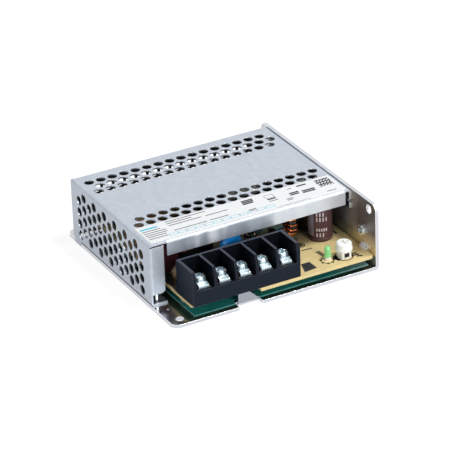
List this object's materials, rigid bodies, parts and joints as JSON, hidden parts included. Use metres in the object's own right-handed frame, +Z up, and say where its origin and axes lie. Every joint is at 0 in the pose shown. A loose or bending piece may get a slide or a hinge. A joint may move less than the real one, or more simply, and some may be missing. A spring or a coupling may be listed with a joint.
{
  "type": "enclosed switching power supply",
  "caption": "Flat enclosed switching power supply: L-shaped bright metal chassis, perforated folded cover, board with a screw terminal block, lamp and trimmer at the open front.",
  "frame": {"origin": "bottom centre of the overall box, on the underside of the chassis plate", "axes": "+X to the chassis wall on the right, +Y from the terminals to the rear, +Z up"},
  "size_m": [0.097, 0.099, 0.03],
  "materials": {
    "chassis_metal": "bright, smooth",
    "cover_metal": "galvanised, satin",
    "label_white": "smooth, slightly glossy",
    "screw_steel": "nickel plated",
    "film_teal": "thin film, satin",
    "board_beige": "laminate, satin",
    "block_black": "moulded, satin",
    "contact_metal": "tinned",
    "lamp_green": "clear, tinted",
    "trimmer_white": "moulded",
    "sleeve_dark": "shrunk sleeve",
    "sleeve_maroon": "shrunk sleeve",
    "device_black": "moulded",
    "tab_metal": "tinned",
    "pad_grey": "soft",
    "cap_maroon": "box case",
    "cap_yellow": "box case",
    "disc_blue": "dipped",
    "varistor_ochre": "dipped",
    "fuse_glass": "smooth",
    "ferrite": "matte",
    "copper_wire": "enamelled",
    "ring_green": "coated",
    "tape_yellow": "wrapped tape",
    "bobbin_black": "moulded",
    "resistor_tan": "dipped"
  },
  "bodies": {
    "unit": {"chassis": "chassis_metal", "cover": "cover_metal", "wall_bushes": "screw_steel", "cover_screws": "screw_steel", "top_label": "label_white", "board_standoffs": "chassis_metal", "board_screws": "screw_steel", "insulating_film": "film_teal", "circuit_board": "board_beige", "terminal_housing": "block_black", "terminal_contacts": "contact_metal", "clamp_plates": "screw_steel", "terminal_screws": "screw_steel", "status_lamp": "lamp_green", "lamp_leads": "contact_metal", "trimmer_base": "trimmer_white", "output_capacitors": "sleeve_maroon", "bulk_capacitor": "sleeve_dark", "small_capacitors": "sleeve_dark", "wall_device_frames": "tab_metal", "wall_device_bodies": "device_black", "insulating_pads": "pad_grey", "device_screws": "screw_steel", "line_capacitor": "cap_maroon", "film_capacitors": "cap_yellow", "disc_capacitors": "disc_blue", "varistor": "varistor_ochre", "fuse_tube": "fuse_glass", "fuse_caps": "contact_metal", "ring_choke_core": "ring_green", "ring_choke_windings": "copper_wire", "output_choke_core": "ferrite", "output_choke_winding": "copper_wire", "line_choke_core": "ferrite", "line_choke_windings": "copper_wire", "transformer_core": "ferrite", "transformer_bobbin": "bobbin_black", "transformer_winding": "tape_yellow", "bridge_rectifier": "device_black", "bridge_leads": "contact_metal", "chips": "device_black", "chip_pins": "contact_metal", "resistors": "resistor_tan"},
    "trimmer": {"trimmer_knob": "trimmer_white"}
  },
  "joints": [
    {"name": "trimmer_turn", "type": "hinge", "parent": "unit", "child": "trimmer", "pos_m": [0.0354, -0.0429, 0.0105], "axis": [0, 0, 1], "range_deg": [-130, 130]}
  ]
}
